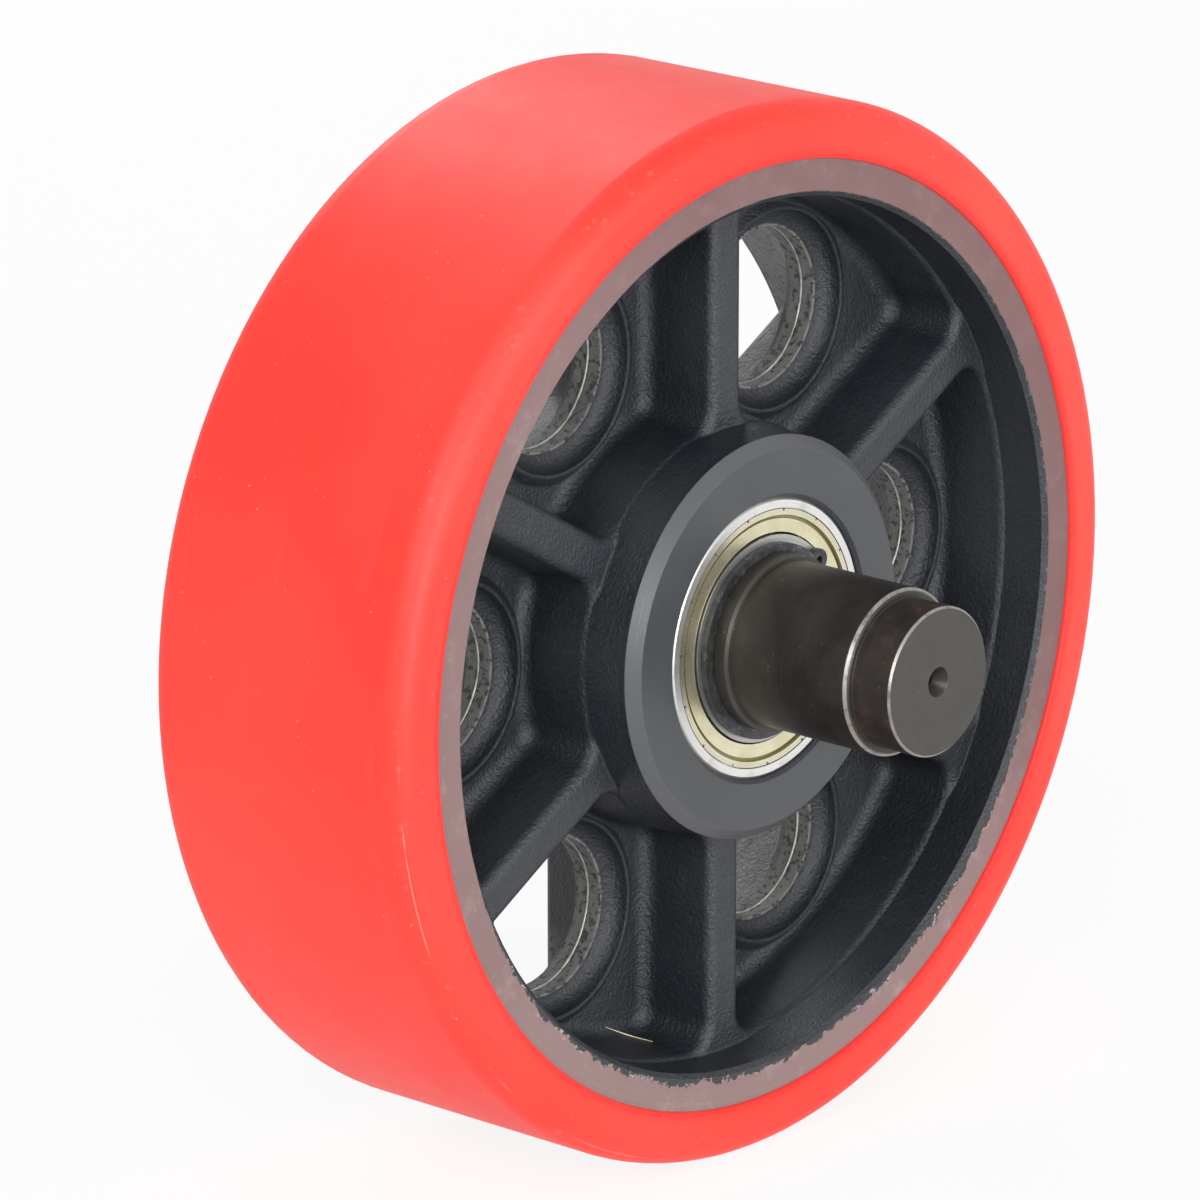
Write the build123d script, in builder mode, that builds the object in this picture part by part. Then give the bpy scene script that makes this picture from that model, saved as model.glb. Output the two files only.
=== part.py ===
from build123d import *
import os
from math import cos, radians, sin, tan

# Support roller: a ribbed cast wheel with a bonded tyre, turning on a fixed axle
# through two shielded ball bearings, each held on the axle by a circlip.
# Millimetres, +Z up. The origin is the centre of the wheel and the axle lies
# along Y. The front, which is the side in view, looks towards -Y.

# Tyre
tyre_diameter = 300.0
tyre_thickness = 16.0
tyre_width = 93.0
tyre_edge_radius = 8.0
tyre_inner_edge_radius = 1.0

# Rim of the casting
rim_inset = 1.2
rim_wall = 10.6
rim_edge_chamfer = 1.4
register_depth = 14.0
register_step = 0.8

# Hub of the casting
hub_width = 94.0
hub_nose_diameter = 114.0
hub_nose_chamfer = 3.2
hub_nose_land = 2.0
bearing_recess = 1.0
seat_chamfer = 1.0
seat_shoulder = 3.0

# Web and ribs of the casting
web_thickness = 16.0
rib_count = 6
rib_width = 12.5
rib_edge_radius = 3.0
pocket_draft = 4.0
pocket_corner_radius = 8.0
pocket_floor_radius = 4.5
pocket_hub_step = 0.4

# How far a cutting shape runs past the face that it cuts
cut_past = 1.0

# Lightening holes, each with a rounded collar
hole_diameter = 45.5
hole_circle_radius = 90.6
hole_land = 9.0
collar_height = 2.0
collar_crest = 1.0
collar_slope = 2.5

# Ball bearings
bearing_bore = 50.0
bearing_outside = 80.0
bearing_width = 16.0
bearing_chamfer = 1.0
ball_diameter = 8.73
ball_count = 14
race_conformity = 0.2
race_clearance = 0.03
inner_race_depth = 1.2
outer_race_depth = 1.3

# Bearing cages
cage_sheet = 0.8
cage_width = 3.6
pocket_clearance = 0.1
rivet_diameter = 1.4
rivet_head_diameter = 2.6
rivet_head_height = 0.5

# Bearing shields
shield_sheet = 0.5
shield_bore_clearance = 0.35
shield_flat_depth = 0.9
shield_groove_depth = 1.5
shield_groove_width = 1.6
shield_crimp_width = 1.2
shield_seat_clearance = 0.05
crimp_depth = 0.35
crimp_notch_count = 15
crimp_notch_width = 0.7
crimp_notch_angle = 7.0

# Circlips
circlip_thickness = 2.0
circlip_width = 4.6
circlip_lean = 0.5
circlip_groove_depth = 1.5
circlip_groove_play = 0.15
circlip_lug_radius = 3.3
circlip_lug_reach = 3.6
circlip_hole_diameter = 2.5
circlip_gap = 5.0
circlip_gap_angle = 29.0
circlip_lug_angle = 14.0

# Axle
axle_length = 214.0
journal_diameter = 47.0
journal_chamfer = 1.2
spigot_diameter = 42.0
spigot_length = 13.0
spigot_chamfer = 0.6
axle_shoulder = 3.5
land_width = 4.5
land_chamfer = 0.8
centre_hole_diameter = 4.0
centre_hole_depth = 9.0
centre_cone_diameter = 8.5
centre_cone_angle = 60.0

# Derived places, all measured from the middle of the wheel
rim_outer_radius = tyre_diameter / 2 - tyre_thickness
rim_face = tyre_width / 2 - rim_inset
register_radius = rim_outer_radius - rim_wall
rib_edge = rim_face - register_depth
pocket_outer_radius = register_radius - register_step
web_face = web_thickness / 2
hub_face = hub_width / 2
hub_nose_radius = hub_nose_diameter / 2
hub_nose_root = hub_face - hub_nose_chamfer - hub_nose_land
hub_rib_radius = hub_nose_radius + (hub_nose_root - rib_edge) * tan(radians(pocket_draft))
hub_foot_radius = hub_nose_radius + (hub_nose_root - web_face) * tan(radians(pocket_draft))
pocket_inner_radius = hub_rib_radius + pocket_hub_step
hole_radius = hole_diameter / 2
hole_lip = hole_land / 2
collar_top = web_face + collar_height
hole_lip_radius = hole_radius + collar_top - hole_lip
collar_crest_radius = hole_lip_radius + collar_crest
collar_foot_radius = collar_crest_radius + collar_slope
seat_radius = bearing_outside / 2
bearing_face = hub_face - bearing_recess
bearing_back = bearing_face - bearing_width
bearing_centre = (bearing_face + bearing_back) / 2
hub_bore_radius = seat_radius - seat_shoulder
bore_radius = bearing_bore / 2
pitch_radius = (bore_radius + seat_radius) / 2
ball_radius = ball_diameter / 2
groove_radius = ball_radius + race_conformity
inner_land_radius = pitch_radius - ball_radius + inner_race_depth
outer_land_radius = pitch_radius + ball_radius - outer_race_depth
shield_edge_radius = outer_land_radius + shield_crimp_width
pocket_radius = ball_radius + pocket_clearance
axle_end = axle_length / 2
spigot_root = axle_end - spigot_length
clip_groove_radius = bore_radius - circlip_groove_depth
clip_groove_end = bearing_face + circlip_thickness + circlip_groove_play
land_end = clip_groove_end + land_width
clip_reach = clip_groove_radius + circlip_lug_reach + circlip_lug_radius
half_pocket = 180 / rib_count
pocket_angles = [half_pocket * (2 * turn + 1) for turn in range(rib_count)]
hole_places = [
    (hole_circle_radius * sin(radians(angle)), 0, hole_circle_radius * cos(radians(angle)))
    for angle in pocket_angles
]

os.makedirs("parts", exist_ok=True)


def save(piece, name):
    """Labels a finished piece and writes it."""
    piece.part.label = name
    export_step(piece.part, f"parts/{name}.step")


# Pocket between two ribs: a drafted sector with rounded corners and floor,
# drawn at the level of the rib edges, along +X, and sunk to the web

with BuildPart() as pocket:
    with BuildSketch(Plane.XZ.offset(-rib_edge)) as sector:
        Circle(pocket_outer_radius)
        Circle(pocket_inner_radius, mode=Mode.SUBTRACT)
        with BuildLine():
            tip = (rib_width / 2) / sin(radians(half_pocket))
            end = tip + 2 * pocket_outer_radius
            spread = (end - tip) * tan(radians(half_pocket))
            Polyline((tip, 0), (end, spread), (end, -spread), close=True)
        make_face(mode=Mode.INTERSECT)
        fillet(sector.vertices(), pocket_corner_radius)
    extrude(amount=rib_edge - web_face, taper=pocket_draft)
    fillet(pocket.faces().sort_by(Axis.Y)[0].edges(), pocket_floor_radius)

# Collar of a lightening hole and the hole itself, turned about the hole's own line

with BuildPart() as collar:
    with BuildSketch(Plane.XY):
        with BuildLine():
            Polyline(
                (hole_radius - cut_past, 0),
                (hole_radius - cut_past, collar_top),
                (collar_crest_radius, collar_top),
                (collar_foot_radius, web_face),
                (collar_foot_radius, 0),
                close=True,
            )
        make_face()
    revolve(axis=Axis.Y)

with BuildPart() as bore:
    with BuildSketch(Plane.XY):
        with BuildLine():
            RadiusArc((hole_lip_radius, collar_top), (hole_radius, hole_lip), collar_top - hole_lip)
            Polyline(
                (hole_radius, hole_lip),
                (hole_radius, 0),
                (0, 0),
                (0, collar_top + cut_past),
                (hole_lip_radius, collar_top + cut_past),
                (hole_lip_radius, collar_top),
            )
        make_face()
    revolve(axis=Axis.Y)

# Wheel casting, rear half and its mirror image: a disc as high as the ribs with the
# pockets sunk and their mouths rounded, then the hub and the rim on it, the collars
# and the holes

with BuildPart() as wheel_casting:
    with BuildSketch(Plane.XZ):
        Circle(rim_outer_radius)
    extrude(amount=-rib_edge)
    for angle in pocket_angles:
        add(pocket.part, rotation=(0, angle - 90, 0), mode=Mode.SUBTRACT)
    rib_level = wheel_casting.faces().sort_by(Axis.Y)[-1]
    fillet([edge for mouth in rib_level.inner_wires() for edge in mouth.edges()], rib_edge_radius)
    with BuildSketch(Plane.XZ):
        Circle(seat_radius)
    extrude(amount=-rib_edge, mode=Mode.SUBTRACT)
    with BuildSketch(Plane.XY):
        with BuildLine():
            Polyline(
                (hub_bore_radius, 0),
                (hub_bore_radius, bearing_back),
                (seat_radius, bearing_back),
                (seat_radius, hub_face - seat_chamfer),
                (seat_radius + seat_chamfer, hub_face),
                (hub_nose_radius - hub_nose_chamfer, hub_face),
                (hub_nose_radius, hub_face - hub_nose_chamfer),
                (hub_nose_radius, hub_nose_root),
                (hub_foot_radius, web_face),
                (hub_foot_radius, 0),
                close=True,
            )
        make_face()
        with BuildLine():
            Polyline(
                (register_radius, 0),
                (register_radius, rim_face - rim_edge_chamfer),
                (register_radius + rim_edge_chamfer, rim_face),
                (rim_outer_radius, rim_face),
                (rim_outer_radius, 0),
                close=True,
            )
        make_face()
    revolve(axis=Axis.Y)
    with Locations(*hole_places):
        add(collar.part)
    with Locations(*hole_places):
        add(bore.part, mode=Mode.SUBTRACT)
    mirror(about=Plane.XZ)
save(wheel_casting, "wheel_casting")

# Tyre, bonded round the rim

with BuildPart() as tyre:
    with BuildSketch(Plane.XY) as tread:
        with Locations((rim_outer_radius + tyre_thickness / 2, 0)):
            Rectangle(tyre_thickness, tyre_width)
        fillet(tread.vertices().group_by(Axis.X)[-1], tyre_edge_radius)
        fillet(tread.vertices().group_by(Axis.X)[0], tyre_inner_edge_radius)
    revolve(axis=Axis.Y)
save(tyre, "tyre")

# Axle: bearing seats against a middle shoulder, circlip grooves, journals,
# and a turned-down spigot with a centre hole at each end

with BuildPart() as axle:
    with BuildSketch(Plane.XY):
        with BuildLine():
            Polyline(
                (0, 0),
                (bore_radius + axle_shoulder, 0),
                (bore_radius + axle_shoulder, bearing_back),
                (bore_radius, bearing_back),
                (bore_radius, bearing_face),
                (clip_groove_radius, bearing_face),
                (clip_groove_radius, clip_groove_end),
                (bore_radius, clip_groove_end),
                (bore_radius, land_end - land_chamfer),
                (bore_radius - land_chamfer, land_end),
                (journal_diameter / 2, land_end),
                (journal_diameter / 2, spigot_root - journal_chamfer),
                (journal_diameter / 2 - journal_chamfer, spigot_root),
                (spigot_diameter / 2, spigot_root),
                (spigot_diameter / 2, axle_end - spigot_chamfer),
                (spigot_diameter / 2 - spigot_chamfer, axle_end),
                (0, axle_end),
                close=True,
            )
        make_face()
    revolve(axis=Axis.Y)
    with Locations(Location((0, axle_end, 0), (-90, 0, 0))):
        CounterSinkHole(
            centre_hole_diameter / 2, centre_cone_diameter / 2, centre_hole_depth, centre_cone_angle
        )
    mirror(about=Plane.XZ)
save(axle, "axle")


def bearing(side, end):
    """One ball bearing and its circlip; side is -1 at the front and 1 at the rear."""
    centre = side * bearing_centre
    face = side * bearing_face
    middle = Plane.XZ.offset(-centre)

    def ring(inner, outer, groove_centre, seat_side):
        """A ring with its ball groove; the outer one has its corners outside and its shield seats."""
        with BuildPart() as made:
            with BuildSketch(Plane.XY) as cut:
                with Locations(((inner + outer) / 2, centre)):
                    Rectangle(outer - inner, bearing_width)
                chamfer(cut.vertices().group_by(Axis.X)[seat_side], bearing_chamfer)
                with Locations((groove_centre, centre)):
                    Circle(groove_radius, mode=Mode.SUBTRACT)
                if outer == seat_radius:
                    rebate = shield_groove_depth + shield_sheet / 2
                    across = outer_land_radius + shield_crimp_width / 2
                    along = (bearing_width - rebate) / 2
                    with Locations((across, centre - along), (across, centre + along)):
                        Rectangle(shield_crimp_width, rebate, mode=Mode.SUBTRACT)
            revolve(axis=Axis.Y)
        return made

    play = race_conformity - race_clearance
    save(ring(outer_land_radius, seat_radius, pitch_radius - play, -1), f"{end}_outer_ring")
    save(ring(bore_radius, inner_land_radius, pitch_radius + play, 0), f"{end}_inner_ring")

    with BuildPart() as balls:
        with Locations(middle):
            with PolarLocations(pitch_radius, ball_count):
                Sphere(ball_radius)
    save(balls, f"{end}_balls")

    half_step = 180 / ball_count
    for half, facing in (("outboard", side), ("inboard", -side)):
        with BuildPart() as cage:
            with BuildSketch(middle):
                Circle(pitch_radius + cage_width / 2)
                Circle(pitch_radius - cage_width / 2, mode=Mode.SUBTRACT)
            extrude(amount=-facing * cage_sheet)
            with Locations(middle):
                with PolarLocations(pitch_radius, ball_count):
                    Sphere(pocket_radius + cage_sheet)
            with BuildSketch(middle):
                Circle(pitch_radius + cage_width / 2)
                Circle(pitch_radius - cage_width / 2, mode=Mode.SUBTRACT)
            extrude(amount=-facing * bearing_width / 2, mode=Mode.INTERSECT)
            with Locations(middle):
                with PolarLocations(pitch_radius, ball_count):
                    Sphere(pocket_radius, mode=Mode.SUBTRACT)
            with BuildSketch(middle):
                with PolarLocations(pitch_radius, ball_count, start_angle=half_step):
                    Circle(rivet_diameter / 2)
            extrude(amount=-facing * cage_sheet, mode=Mode.SUBTRACT)
        save(cage, f"{end}_cage_{half}")

    with BuildPart() as rivets:
        with BuildSketch(middle):
            with PolarLocations(pitch_radius, ball_count, start_angle=half_step):
                Circle(rivet_diameter / 2)
        extrude(amount=cage_sheet, both=True)
        for outward in (-1, 1):
            with BuildSketch(Plane.XZ.offset(-centre - outward * cage_sheet)):
                with PolarLocations(pitch_radius, ball_count, start_angle=half_step):
                    Circle(rivet_head_diameter / 2)
            extrude(amount=-outward * rivet_head_height)
    save(rivets, f"{end}_cage_rivets")

    for place, facing in (("outboard", side), ("inboard", -side)):
        ring_face = centre + facing * bearing_width / 2
        with BuildPart() as shield:
            with BuildSketch(Plane.XY):
                with BuildLine():
                    lip = inner_land_radius + shield_bore_clearance + shield_sheet / 2
                    groove_outside = outer_land_radius - shield_sheet
                    groove_inside = groove_outside - shield_groove_width
                    crimp = shield_edge_radius - shield_seat_clearance - shield_sheet / 2
                    Polyline(
                        (lip, ring_face - facing * shield_flat_depth),
                        (groove_inside, ring_face - facing * shield_flat_depth),
                        (groove_inside, ring_face - facing * shield_groove_depth),
                        (groove_outside, ring_face - facing * shield_groove_depth),
                        (groove_outside, ring_face - facing * crimp_depth),
                        (crimp, ring_face - facing * crimp_depth),
                    )
                trace(line_width=shield_sheet)
            revolve(axis=Axis.Y)
            if place == "outboard":
                with BuildSketch(Plane.XZ.offset(-ring_face)):
                    with PolarLocations(crimp, crimp_notch_count, start_angle=crimp_notch_angle):
                        Rectangle(shield_crimp_width, crimp_notch_width)
                extrude(amount=facing * shield_flat_depth, both=True, mode=Mode.SUBTRACT)
        save(shield, f"{end}_{place}_shield")

    lug_along = (clip_groove_radius + circlip_lug_reach) * cos(radians(circlip_lug_angle))
    lug_across = (clip_groove_radius + circlip_lug_reach) * sin(radians(circlip_lug_angle))
    lugs = [(lug_along, -lug_across), (lug_along, lug_across)]
    with BuildPart() as circlip:
        with BuildSketch(Plane.XZ.offset(-face)):
            with Locations(Rotation(0, 0, circlip_gap_angle)):
                with Locations((-circlip_lean, 0)):
                    Circle(clip_groove_radius + circlip_width - circlip_lean)
                with Locations(*lugs):
                    Circle(circlip_lug_radius)
                Circle(clip_groove_radius, mode=Mode.SUBTRACT)
                with Locations((clip_reach / 2, 0)):
                    Rectangle(clip_reach, circlip_gap, mode=Mode.SUBTRACT)
                with Locations(*lugs):
                    Circle(circlip_hole_diameter / 2, mode=Mode.SUBTRACT)
        extrude(amount=-side * circlip_thickness)
    save(circlip, f"{end}_circlip")


bearing(-1, "front")
bearing(1, "rear")
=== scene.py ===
from functools import reduce
from math import cos, degrees, pi, radians, sin

import bpy
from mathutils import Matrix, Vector, noise


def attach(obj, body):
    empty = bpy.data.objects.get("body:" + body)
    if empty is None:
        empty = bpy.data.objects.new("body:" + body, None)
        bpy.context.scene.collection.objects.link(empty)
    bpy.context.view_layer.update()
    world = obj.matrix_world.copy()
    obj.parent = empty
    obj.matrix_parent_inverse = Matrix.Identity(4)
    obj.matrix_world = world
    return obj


# Support roller: a painted ribbed casting with a red tyre on a blackened axle.
# Metres. The axle lies along Y, the side in view looks towards -Y, and the origin
# is the centre of the wheel. Both ends are alike, so most masks read |y|.

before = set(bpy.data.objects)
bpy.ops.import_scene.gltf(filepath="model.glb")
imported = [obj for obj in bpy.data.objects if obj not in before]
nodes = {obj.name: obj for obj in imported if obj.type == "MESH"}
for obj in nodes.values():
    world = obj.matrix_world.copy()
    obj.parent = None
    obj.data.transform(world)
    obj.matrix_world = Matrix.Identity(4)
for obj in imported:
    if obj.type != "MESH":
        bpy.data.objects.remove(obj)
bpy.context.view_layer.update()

# Wheel
TYRE_RADIUS = 0.150
HOLE_COUNT = 6
HOLE_CIRCLE = 0.0906
HOLE_RADIUS = 0.02275
RIM_FACE = 0.0453
PAINT_END = 0.12475  # radius at which the paint gives way to the bare rim face
HUB_FACE = 0.047
HUB_CHAMFER = (0.0539, 0.0572)
# Axle and bearings
SPIGOT_START = 0.0938
AXLE_END = 0.10685
GROOVE_TOP = 0.0451
GROOVE_RADIUS = 0.0331
CRIMP_RADIUS = 0.0352
# Mould flash round a hole: steps round it, and its section as (along the axle, outward)
FLASH_STEPS = 160
FLASH_SECTION = ((-0.00045, 0.0002), (-0.00016, -0.00025), (0.00016, -0.00025), (0.00045, 0.0002))
# Stray hair: its start, run and sag in pixels of the photograph, its steps and its sides
HAIR_START = (605, 1027)
HAIR_RUN = (48, 15)
HAIR_SAG = 1.2
HAIR_STEPS = 24
HAIR_SIDES = 6
# Camera, fitted to the photograph
CAMERA_PLACE = Vector((-1.764553, -1.544229, 0.708037))
CAMERA_TURN = radians(-48.52628)
CAMERA_RISE = radians(16.75869)
CAMERA_LENS = 263.36
FILM = 36.0
PHOTO_WIDTH = 1200
# Stage
FLOOR_HALF = 12.0
FLOOR_WHITE = 0.88
WORLD_LIGHT = 0.5
LAMPS = (("key", (-2.3, -1.1, 1.5), 1.8, 46),
         ("front", (0.9, -2.7, 0.6), 1.6, 22),
         ("low", (-0.9, -2.4, 0.30), 0.9, 38),
         ("back", (1.2, 2.2, 1.6), 1.2, 20))


class Nodes:
    """A fresh node tree written as short expressions; values are sockets or numbers."""

    def __init__(self, owner):
        owner.use_nodes = True
        self.tree = owner.node_tree
        self.tree.nodes.clear()

    def add(self, kind, **settings):
        node = self.tree.nodes.new(kind)
        for key, value in settings.items():
            setattr(node, key, value)
        return node

    def wire(self, value, socket):
        if isinstance(value, bpy.types.NodeSocket):
            self.tree.links.new(value, socket)
        elif socket.type == "RGBA" and len(value) == 3:
            socket.default_value = (*value, 1)
        else:
            socket.default_value = value

    def math(self, operation, *values):
        node = self.add("ShaderNodeMath", operation=operation)
        for value, socket in zip(values, node.inputs):
            self.wire(value, socket)
        return node.outputs[0]

    def times(self, *values):
        return reduce(lambda a, b: self.math("MULTIPLY", a, b), values)

    def most(self, *values):
        return reduce(lambda a, b: self.math("MAXIMUM", a, b), values)

    def line(self, value, slope, start):
        """slope * value + start"""
        return self.math("MULTIPLY_ADD", value, slope, start)


class Look(Nodes):
    """A material: self.r is the distance from the axle's line, self.ay is |y| and
    self.turn the angle round the axle, all in the piece's own coordinates."""

    SOCKETS = {"color": "Base Color", "roughness": "Roughness", "metallic": "Metallic",
               "normal": "Normal", "specular": "Specular IOR Level",
               "subsurface": "Subsurface Weight", "subsurface_scale": "Subsurface Scale"}

    def __init__(self, name, roughness=0.5, metallic=0.0):
        self.material = bpy.data.materials.new(name)
        super().__init__(self.material)
        self.shader = self.add("ShaderNodeBsdfPrincipled")
        out = self.add("ShaderNodeOutputMaterial")
        self.wire(self.shader.outputs[0], out.inputs[0])
        self.place = self.add("ShaderNodeTexCoord").outputs["Object"]
        split = self.add("ShaderNodeSeparateXYZ")
        self.wire(self.place, split.inputs[0])
        self.x, self.y, self.z = split.outputs
        self.r = self.length(self.z, self.x)
        self.ay = self.math("ABSOLUTE", self.y)
        self.turn = self.math("ARCTAN2", self.x, self.z)
        self.set(roughness=roughness, metallic=metallic)

    def set(self, **values):
        for key, value in values.items():
            self.wire(value, self.shader.inputs[self.SOCKETS[key]])

    def length(self, a, b):
        return self.math("SQRT", self.line(a, a, self.times(b, b)))

    def mix(self, factor, a, b):
        """Colour a where factor is 0 and colour b where it is 1."""
        node = self.add("ShaderNodeMix", data_type="RGBA")
        for value, at in ((factor, 0), (a, 6), (b, 7)):
            self.wire(value, node.inputs[at])
        return node.outputs[2]

    def blend(self, factor, a, b):
        """Number a where factor is 0 and number b where it is 1."""
        node = self.add("ShaderNodeMix", data_type="FLOAT")
        for value, at in ((factor, 0), (a, 2), (b, 3)):
            self.wire(value, node.inputs[at])
        return node.outputs[0]

    def noise(self, scale, detail=4.0, rough=0.55, vector=None):
        node = self.add("ShaderNodeTexNoise")
        self.wire(vector or self.place, node.inputs["Vector"])
        node.inputs["Scale"].default_value = scale
        node.inputs["Detail"].default_value = detail
        node.inputs["Roughness"].default_value = rough
        return node.outputs[0]

    def step(self, value, low, high):
        """0 below low and 1 above high, smooth between them; the other way round if low > high."""
        flip = low > high
        node = self.add("ShaderNodeMapRange", interpolation_type="SMOOTHSTEP")
        self.wire(value, node.inputs[0])
        node.inputs[1].default_value = min(low, high)
        node.inputs[2].default_value = max(low, high)
        node.inputs[3].default_value = 1.0 if flip else 0.0
        node.inputs[4].default_value = 0.0 if flip else 1.0
        return node.outputs[0]

    def between(self, value, low, high, soft):
        """1 from low to high, falling to 0 within soft on either side."""
        return self.times(self.step(value, low - soft, low), self.step(value, high + soft, high))

    def vector(self, x, y, z):
        node = self.add("ShaderNodeCombineXYZ")
        for value, socket in zip((x, y, z), node.inputs):
            self.wire(value, socket)
        return node.outputs[0]

    def lathe(self, fine, slow=6.0):
        """Tool marks that run round the axle: fine across them and slow along them."""
        around = self.times(self.math("COSINE", self.turn), slow * 0.05)
        place = self.vector(self.times(self.r, fine), self.times(self.ay, fine), around)
        return self.noise(1.0, 3.0, 0.6, place)

    def bump(self, height, distance, strength=1.0, soften=None):
        """Relief of the surface; soften is the radius to which its edges are rounded."""
        node = self.add("ShaderNodeBump")
        node.inputs["Strength"].default_value = strength
        node.inputs["Distance"].default_value = distance
        self.wire(height, node.inputs["Height"])
        if soften is not None:
            edges = self.add("ShaderNodeBevel", samples=6)
            self.wire(soften, edges.inputs["Radius"])
            self.wire(edges.outputs[0], node.inputs["Normal"])
        return node.outputs[0]


def casting_look():
    """Blue-black paint over a sand casting, bare on the rim faces and in the holes."""
    m = Look("casting", 0.4)
    grain = m.noise(900, 5, 0.6)
    lumps = m.noise(70, 3, 0.5)
    broad = m.step(m.noise(22, 3, 0.5), 0.3, 0.7)
    marks = m.lathe(2600)

    paint = m.mix(broad, (0.0130, 0.0158, 0.0205), (0.0195, 0.0228, 0.0285))
    paint = m.mix(m.step(grain, 0.55, 0.9), paint, (0.040, 0.044, 0.050))
    dust = m.step(m.noise(1500, 2, 0.5), 0.74, 0.78)
    paint = m.mix(m.times(dust, 0.6), paint, (0.16, 0.165, 0.17))

    # Edge of the paint on the rim face, ragged and chipped low down
    low = m.step(m.z, -0.035, -0.095)
    ragged = m.math("SUBTRACT", m.noise(170, 6, 0.75), 0.5)
    edge = m.line(ragged, m.blend(low, 0.0006, 0.0095), m.r)
    edge = m.line(low, -0.0012, edge)
    on_face = m.step(m.ay, RIM_FACE - 0.00035, RIM_FACE - 0.00015)
    bare_rim = m.times(on_face, m.step(edge, PAINT_END, PAINT_END + 0.00015))
    chips = m.times(on_face, m.step(edge, PAINT_END - 0.00075, PAINT_END - 0.00005),
                    m.step(m.noise(420, 3, 0.6), 0.52, 0.58), m.blend(low, 0.25, 0.9))

    # Bare rim face, mauve, greyer and paler on the left and low down
    left = m.most(low, m.times(m.step(m.x, -0.02, -0.11), 0.6))
    mauve = m.mix(m.noise(45, 5, 0.6), (0.120, 0.062, 0.063), (0.185, 0.098, 0.099))
    mauve = m.mix(m.times(left, 0.6), mauve, (0.260, 0.190, 0.182))
    pink = m.times(low, m.step(m.noise(260, 4, 0.6), 0.60, 0.68), m.step(m.r, 0.1285, 0.1262))
    mauve = m.mix(m.times(pink, 0.7), mauve, (0.62, 0.22, 0.20))
    grey = m.times(m.step(m.noise(120, 6, 0.7), 0.52, 0.75), m.blend(left, 0.2, 0.7))
    mauve = m.mix(grey, mauve, (0.30, 0.26, 0.245))
    mauve = m.mix(m.times(m.step(marks, 0.35, 0.75), 0.35), mauve, (0.16, 0.095, 0.09))

    # Turned hub face, thinly painted, with its chamfer painted lighter: a painted highlight where
    # the slope catches the lamps
    on_hub = m.times(m.step(m.ay, HUB_FACE - 0.00025, HUB_FACE - 0.0001),
                     m.step(m.r, 0.060, 0.0585))
    hub = m.mix(m.noise(60, 4, 0.6), (0.036, 0.040, 0.044), (0.052, 0.056, 0.061))
    lit_chamfer = m.times(m.between(m.r, *HUB_CHAMFER, 0.0003), m.step(m.ay, 0.0436, 0.0438))

    # Unpainted walls of the holes, with pores
    off = m.math("FLOORED_MODULO", m.turn, 2 * pi / HOLE_COUNT)
    off = m.math("SUBTRACT", off, pi / HOLE_COUNT)
    across = m.times(m.r, m.math("SINE", off))
    along = m.math("SUBTRACT", m.times(m.r, m.math("COSINE", off)), HOLE_CIRCLE)
    from_hole = m.length(across, along)
    wall = m.times(m.step(from_hole, HOLE_RADIUS + 0.0012, HOLE_RADIUS + 0.0004),
                   m.step(m.ay, 0.0062, 0.0050))
    pits = m.noise(520, 4, 0.65)
    iron = m.mix(m.noise(240, 5, 0.65), (0.110, 0.110, 0.107), (0.245, 0.240, 0.228))
    # Pores painted near black: painted shade down in the pits
    iron = m.mix(m.times(m.step(pits, 0.44, 0.40), 0.8), iron, (0.022, 0.022, 0.022))
    iron_skin = m.line(m.noise(420, 6, 0.7), 0.7, m.step(pits, 0.40, 0.46))

    # Inside of the far rim, mixed most of the way to the bare-iron colour
    far_rim_grey = m.times(m.step(m.y, 0.0065, 0.0090), m.step(m.r, 0.0960, 0.1060),
                   m.step(m.ay, 0.0440, 0.0425))

    color = m.mix(m.times(far_rim_grey, 0.85), paint, iron)
    color = m.mix(on_hub, color, hub)
    # Painted highlight: the hub chamfer given a lighter colour
    color = m.mix(m.times(lit_chamfer, 0.9), color, (0.075, 0.079, 0.084))
    color = m.mix(wall, color, iron)
    color = m.mix(chips, color, (0.46, 0.43, 0.40))
    color = m.mix(bare_rim, color, mauve)
    roughness = m.blend(m.most(bare_rim, wall), m.blend(broad, 0.33, 0.44), 0.58)

    turned = m.most(bare_rim, on_hub, lit_chamfer)
    sand = m.line(grain, 0.9, m.times(lumps, 1.6))
    height = m.blend(turned, sand, m.times(marks, 0.12))
    height = m.blend(wall, height, m.times(iron_skin, 1.6))
    as_cast = m.times(m.step(m.ay, 0.0365, 0.0345), m.step(m.r, 0.1236, 0.1230))
    soften = m.blend(as_cast, 0.0003, 0.0012)
    m.set(color=color, roughness=roughness, normal=m.bump(height, 0.0006, 0.9, soften))
    return m.material


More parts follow.
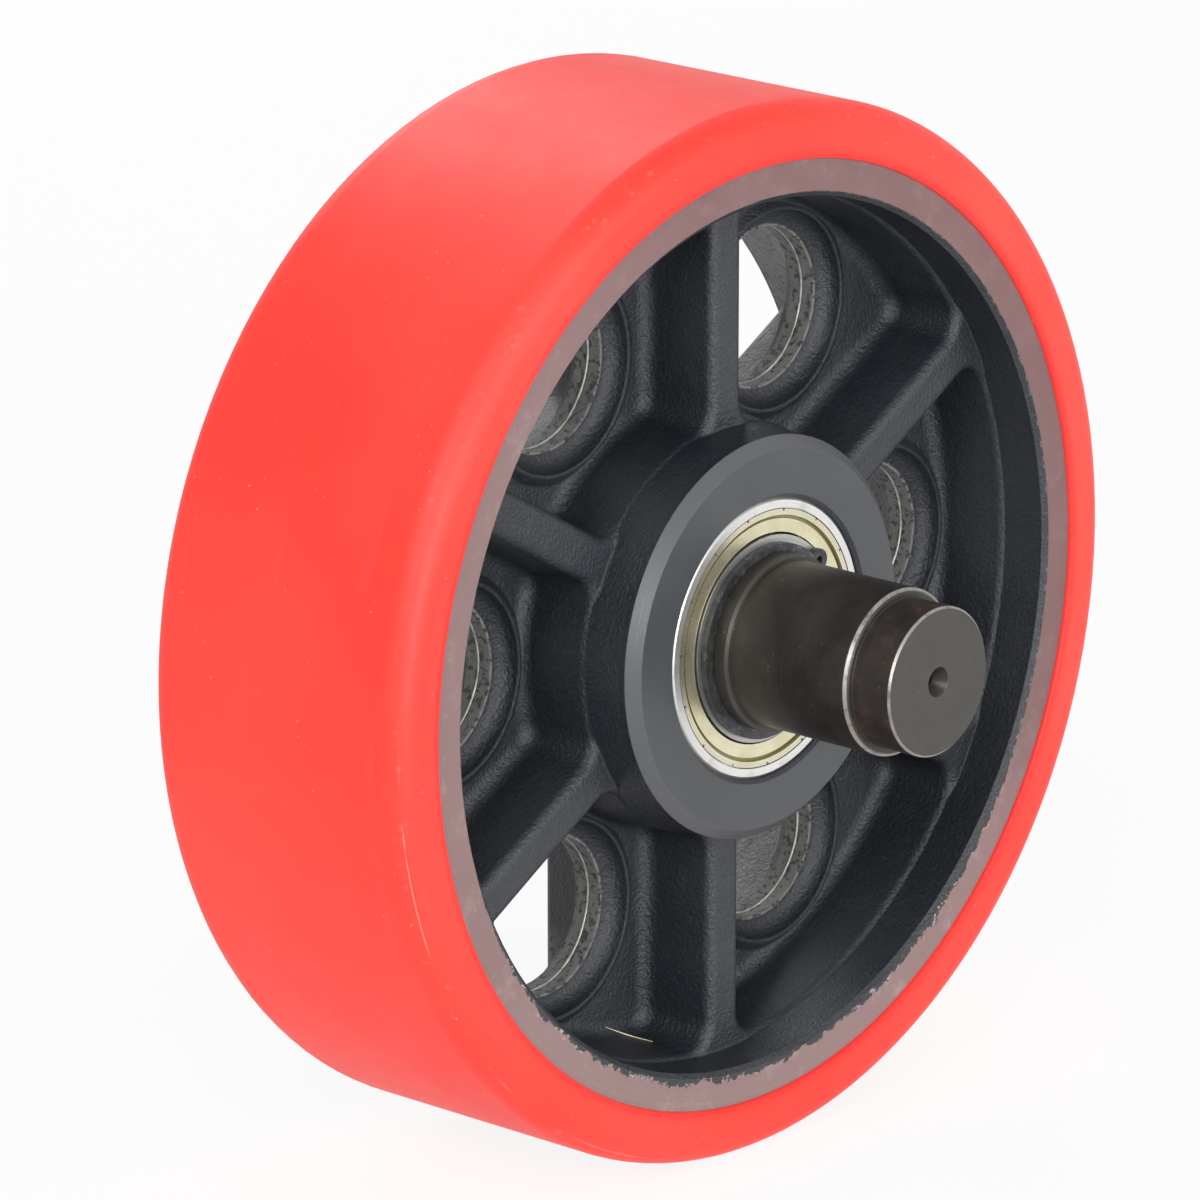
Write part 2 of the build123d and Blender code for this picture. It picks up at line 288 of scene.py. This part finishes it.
def tyre_look():
    """Red cast elastomer: satin, with faint flow marks, rub marks and fine specks, and painted
    highlight on the corner of the tread.
    """
    m = Look("tyre", 0.5)
    red = m.mix(m.step(m.noise(9, 3, 0.5), 0.3, 0.7), (0.93, 0.038, 0.026), (0.96, 0.056, 0.040))
    inner = m.times(m.step(m.ay, 0.0435, 0.0463), m.step(m.r, 0.1375, 0.1345))
    red = m.mix(m.times(inner, 0.7), red, (0.86, 0.016, 0.014))
    flow = m.vector(m.times(m.turn, 3.0), m.times(m.y, 260), m.times(m.r, 90))
    streak = m.noise(1.0, 4, 0.6, flow)
    red = m.mix(m.times(m.step(streak, 0.58, 0.80), 0.22), red, (0.98, 0.115, 0.095))
    specks = m.step(m.noise(650, 2, 0.5), 0.735, 0.76)
    red = m.mix(m.times(specks, 0.45), red, (0.98, 0.30, 0.26))
    # Pale patches on the corner between the tread and the side: scuffs, and a painted highlight
    # along the rounded corner
    corner = m.times(m.step(m.ay, 0.0395, 0.0430), m.step(m.r, 0.1448, 0.1470))
    scuff_and_highlight = m.times(corner, m.step(m.noise(210, 6, 0.7), 0.58, 0.70))
    # Scuffs and painted highlight on the tread's corner
    red = m.mix(m.times(scuff_and_highlight, 0.12), red, (0.98, 0.42, 0.36))
    # Hair-thin pale line where the side begins, broken here and there, low on the left: a painted
    # highlight along the edge, partly a faint parting line
    line = m.times(m.between(m.r, 0.14755, 0.14775, 0.0001), m.step(m.ay, 0.0420, 0.0430),
                   m.step(m.noise(26, 4, 0.6), 0.44, 0.56), m.step(m.z, 0.01, -0.03),
                   m.step(m.x, 0.02, -0.02))
    # Painted highlight: the pale line along the tyre's edge
    red = m.mix(m.times(line, 0.3), red, (0.98, 0.36, 0.28))
    height = m.line(m.noise(34, 3, 0.5), 1.0, m.times(m.noise(1300, 3, 0.5), 0.05))
    height = m.line(streak, 0.12, height)
    m.set(color=red, roughness=m.line(m.noise(60, 4, 0.6), 0.14, 0.42), specular=0.32,
          normal=m.bump(height, 0.0006, 0.35), subsurface=0.06, subsurface_scale=0.004)
    return m.material


def axle_look():
    """Black oxide on turned steel, bare on the worn edges, rusty in places."""
    m = Look("axle", 0.36)
    marks = m.lathe(3400, 3.0)
    cloud = m.noise(55, 5, 0.6)
    black = m.mix(m.step(cloud, 0.3, 0.7), (0.020, 0.018, 0.016), (0.040, 0.035, 0.030))
    black = m.mix(m.times(m.step(marks, 0.5, 0.8), 0.5), black, (0.075, 0.068, 0.060))
    spigot = m.step(m.ay, SPIGOT_START, SPIGOT_START + 0.0004)
    rust = m.times(spigot, m.step(m.noise(110, 6, 0.7), 0.52, 0.70))
    black = m.mix(m.times(rust, 0.6), black, (0.135, 0.062, 0.045))
    end = m.step(m.ay, AXLE_END, AXLE_END + 0.0001)
    face = m.mix(m.noise(160, 5, 0.65), (0.052, 0.050, 0.045), (0.082, 0.078, 0.071))
    face = m.mix(m.times(m.step(marks, 0.45, 0.75), 0.4), face, (0.06, 0.055, 0.05))
    # Corners of the end face and of the journal, rubbed bright
    end_edge = m.times(m.step(m.ay, 0.1063, 0.1065), m.step(m.r, 0.0203, 0.0205))
    step_edge = m.times(m.step(m.ay, 0.0926, 0.0928), m.step(m.ay, 0.0937, 0.0934),
                        m.step(m.r, 0.0225, 0.0227))
    worn = m.step(m.noise(260, 5, 0.7), 0.30, 0.55)
    bright = m.times(m.most(end_edge, step_edge), m.line(worn, 0.6, 0.25))
    color = m.mix(end, black, face)
    color = m.mix(bright, color, (0.34, 0.325, 0.30))
    nicks = m.step(m.noise(700, 2, 0.5), 0.72, 0.76)
    color = m.mix(m.times(nicks, 0.5), color, (0.20, 0.18, 0.16))
    height = m.line(marks, 0.5, m.times(cloud, 0.8))
    metallic = m.blend(m.most(bright, m.times(end, 0.5)), 0.25, 0.95)
    m.set(color=color, roughness=m.line(cloud, 0.22, 0.26), metallic=metallic,
          normal=m.bump(height, 0.00012, 0.6, 0.00035))
    return m.material


def steel_look(name, color, roughness, fine, tone=0.25):
    """Ground or pressed steel with marks round the axle, as dark as tone, and faint stains."""
    m = Look(name, roughness, 0.95)
    marks = m.lathe(fine, 2.0)
    cloud = m.noise(140, 5, 0.6)
    dark = tuple(c * (1 - tone) for c in color)
    base = m.mix(m.step(marks, 0.3, 0.7), dark, color)
    base = m.mix(m.times(m.step(cloud, 0.55, 0.75), 0.35), base, (0.30, 0.26, 0.20))
    height = m.line(marks, 0.6, m.times(cloud, 0.5))
    m.set(color=base, roughness=m.line(cloud, 0.2, roughness - 0.1),
          normal=m.bump(height, 0.00006, 0.5))
    return m.material


def shield_look():
    """Pale yellow plated sheet, with painted shade making it olive and duller down in its rolled
    groove.
    """
    m = Look("shield", 0.26, 0.9)
    marks = m.lathe(2200, 1.5)
    cloud = m.noise(90, 4, 0.6)
    gold = m.mix(m.step(cloud, 0.3, 0.7), (0.66, 0.61, 0.40), (0.78, 0.735, 0.54))
    gold = m.mix(m.times(m.step(marks, 0.5, 0.8), 0.3), gold, (0.50, 0.46, 0.28))
    # Painted shade: the rolled groove darkened to olive
    shaded_groove = m.times(m.step(m.ay, GROOVE_TOP, GROOVE_TOP - 0.0002),
                     m.step(m.r, GROOVE_RADIUS, GROOVE_RADIUS + 0.0003))
    gold = m.mix(shaded_groove, gold, (0.25, 0.235, 0.12))
    crimp = m.step(m.r, CRIMP_RADIUS, CRIMP_RADIUS + 0.0002)
    gold = m.mix(m.times(crimp, 0.6), gold, (0.62, 0.60, 0.50))
    m.set(color=gold, roughness=m.line(cloud, 0.16, 0.2),
          normal=m.bump(m.line(marks, 0.5, cloud), 0.00008, 0.6))
    return m.material


def clip_look():
    """Phosphated spring steel, rubbed bright in patches."""
    m = Look("clip", 0.42, 0.7)
    cloud = m.noise(260, 5, 0.6)
    grey = m.mix(m.step(cloud, 0.3, 0.7), (0.040, 0.041, 0.044), (0.080, 0.081, 0.085))
    rub = m.step(m.noise(520, 4, 0.65), 0.56, 0.70)
    grey = m.mix(m.times(rub, 0.45), grey, (0.24, 0.23, 0.22))
    m.set(color=grey, roughness=m.line(cloud, 0.25, 0.28), normal=m.bump(cloud, 0.0001, 0.6))
    return m.material


def flash_look():
    """Thin bare fin of iron left along the joint of the mould."""
    m = Look("flash", 0.45, 0.6)
    cloud = m.noise(300, 5, 0.7)
    grey = m.mix(m.step(cloud, 0.3, 0.7), (0.30, 0.30, 0.29), (0.62, 0.61, 0.58))
    m.set(color=grey, roughness=m.line(cloud, 0.3, 0.3), normal=m.bump(cloud, 0.0003, 0.8))
    return m.material


def hair_look():
    """Pale straw of a brush hair."""
    m = Look("bristle", 0.5)
    cloud = m.noise(500, 4, 0.6)
    straw = m.mix(cloud, (0.55, 0.46, 0.26), (0.80, 0.72, 0.48))
    m.set(color=straw, normal=m.bump(cloud, 0.0001, 0.5))
    return m.material


def add_object(name, data):
    item = bpy.data.objects.new(name, data)
    bpy.context.scene.collection.objects.link(item)
    return item


def add_mesh(name, points, faces, material):
    mesh = bpy.data.meshes.new(name)
    mesh.from_pydata(points, [], faces)
    mesh.materials.append(material)
    mesh.update()
    return add_object(name, mesh)


def add_to_wheel(name, rings, caps, material):
    """A smooth piece of the wheel, skinned over rings of points: open with caps, or else closed
    from the last ring to the first."""
    count, around = len(rings), len(rings[0])
    faces = list(caps)
    for i in range(count - 1 if caps else count):
        j = (i + 1) % count
        for k in range(around):
            n = (k + 1) % around
            faces.append((i * around + k, i * around + n, j * around + n, j * around + k))
    piece = add_mesh(name, [point for ring in rings for point in ring], faces, material)
    piece.data.polygons.foreach_set("use_smooth", [True] * len(faces))
    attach(piece, "wheel_body")


def mould_flash(angle, material):
    """Ragged fin round one hole at the middle of the web."""
    centre = Vector((HOLE_CIRCLE * sin(angle), 0, HOLE_CIRCLE * cos(angle)))
    rings = []
    for side, outward in FLASH_SECTION:
        ring = []
        for k in range(FLASH_STEPS):
            t = 2 * pi * k / FLASH_STEPS
            way = Vector((cos(t), 0, sin(t)))
            rag = noise.noise(centre * 90 + way * 3.1) * 0.00022
            wave = noise.noise(centre * 40 + way * 1.3) * 0.0004
            radius = HOLE_RADIUS + (outward + (rag if outward < 0 else 0))
            ring.append(centre + way * radius + Vector((0, side + wave, 0)))
        rings.append(ring)
    add_to_wheel(f"mould_flash_{round(degrees(angle))}", rings, (), material)


def stray_bristle():
    """Pale brush hair stuck in the paint of the rim's inside, low on the left."""
    places = []
    for k in range(HAIR_STEPS):
        t = k / (HAIR_STEPS - 1)
        u = HAIR_START[0] + HAIR_RUN[0] * t
        v = HAIR_START[1] + HAIR_RUN[1] * t + HAIR_SAG * sin(pi * t)
        hit, place, normal, _ = nodes["wheel_casting"].ray_cast(CAMERA_PLACE, photo_ray(u, v))
        if hit:
            places.append((place + normal * 0.00012, normal))
    rings = []
    last = len(places) - 1
    for k, (place, normal) in enumerate(places):
        run = (places[min(k + 1, last)][0] - places[max(k - 1, 0)][0]).normalized()
        aside = run.cross(normal).normalized()
        thick = 0.00006 + 0.00014 * sin(pi * (k + 0.5) / len(places))
        turns = [2 * pi * j / HAIR_SIDES for j in range(HAIR_SIDES)]
        rings.append([place + (aside * cos(a) + normal * sin(a)) * thick for a in turns])
    start = tuple(range(HAIR_SIDES))[::-1]
    end = tuple(last * HAIR_SIDES + j for j in range(HAIR_SIDES))
    add_to_wheel("stray_bristle", rings, (start, end), hair_look())


def dress_nodes():
    """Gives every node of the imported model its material."""
    looks = {
        "wheel_casting": casting_look(),
        "tyre": tyre_look(),
        "axle": axle_look(),
        "outer_ring": steel_look("outer_race", (0.80, 0.79, 0.77), 0.38, 3000, 0.15),
        "inner_ring": steel_look("inner_race", (0.52, 0.51, 0.49), 0.36, 3000, 0.35),
        "balls": steel_look("ball", (0.78, 0.78, 0.79), 0.16, 900, 0.06),
        "cage_outboard": steel_look("cage", (0.55, 0.53, 0.49), 0.36, 1500),
        "cage_inboard": steel_look("cage_back", (0.53, 0.51, 0.47), 0.38, 1500),
        "cage_rivets": steel_look("rivet", (0.48, 0.46, 0.43), 0.36, 2500),
        "shield": shield_look(),
        "circlip": clip_look(),
    }
    for name, node in nodes.items():
        key = next(k for k in looks if name.endswith(k))
        node.data.materials.clear()
        node.data.materials.append(looks[key])


def light_from(owner, output, plain, white, share):
    """Shades the floor or the world with plain, and with share of white where the ray comes
    from the camera, a reflection or glass. Gives back the nodes of plain and white."""
    n = Nodes(owner)
    rays = n.add("ShaderNodeLightPath").outputs
    seen = n.most(rays["Is Camera Ray"], rays["Is Glossy Ray"], rays["Is Transmission Ray"])
    plain, white, mixed = n.add(plain), n.add(white), n.add("ShaderNodeMixShader")
    for value, socket in zip((n.times(seen, share), plain.outputs[0], white.outputs[0]),
                             mixed.inputs):
        n.wire(value, socket)
    n.wire(mixed.outputs[0], n.add(output).inputs[0])
    return plain, white


def add_floor():
    material = bpy.data.materials.new("floor")
    matt, _ = light_from(material, "ShaderNodeOutputMaterial", "ShaderNodeBsdfDiffuse",
                         "ShaderNodeEmission", FLOOR_WHITE)
    matt.inputs[0].default_value = (0.9, 0.9, 0.9, 1)
    corners = [(x * FLOOR_HALF, y * FLOOR_HALF, -TYRE_RADIUS)
               for x, y in ((-1, -1), (1, -1), (1, 1), (-1, 1))]
    floor = add_mesh("floor", corners, [(0, 1, 2, 3)], material)


def add_world():
    world = bpy.data.worlds.new("studio")
    soft, white = light_from(world, "ShaderNodeOutputWorld", "ShaderNodeBackground",
                             "ShaderNodeBackground", 1.0)
    for shade in (soft, white):
        shade.inputs[0].default_value = (1, 1, 1, 1)
    soft.inputs[1].default_value = WORLD_LIGHT
    bpy.context.scene.world = world


def add_lamp(name, place, size, power):
    """A square soft lamp that looks at the middle of the wheel."""
    data = bpy.data.lights.new(name, "AREA")
    data.size = size
    data.energy = power
    lamp = add_object(name, data)
    lamp.location = place
    lamp.rotation_euler = (-Vector(place)).to_track_quat("-Z", "Y").to_euler()


def camera_back():
    """The way from the wheel to the camera."""
    level = cos(CAMERA_RISE)
    return Vector((sin(CAMERA_TURN) * level, -cos(CAMERA_TURN) * level, sin(CAMERA_RISE)))


def photo_ray(u, v):
    """The way from the camera through a pixel of the photograph."""
    back = camera_back()
    right = Vector((cos(CAMERA_TURN), sin(CAMERA_TURN), 0))
    up = back.cross(right)
    pixel = FILM / CAMERA_LENS / PHOTO_WIDTH
    middle = PHOTO_WIDTH / 2
    return (right * (u - middle) * pixel - up * (v - middle) * pixel - back).normalized()


def add_camera():
    data = bpy.data.cameras.new("camera")
    data.lens = CAMERA_LENS
    data.sensor_width = FILM
    camera = add_object("camera", data)
    camera.location = CAMERA_PLACE
    camera.rotation_euler = camera_back().to_track_quat("Z", "Y").to_euler()
    bpy.context.scene.camera = camera


add_floor()
add_world()
for lamp in LAMPS:
    add_lamp(*lamp)
add_camera()
dress_nodes()
flash = flash_look()
for hole in range(HOLE_COUNT):
    mould_flash(2 * pi * (hole + 0.5) / HOLE_COUNT, flash)
stray_bristle()

bpy.context.scene.view_settings.view_transform = "Standard"
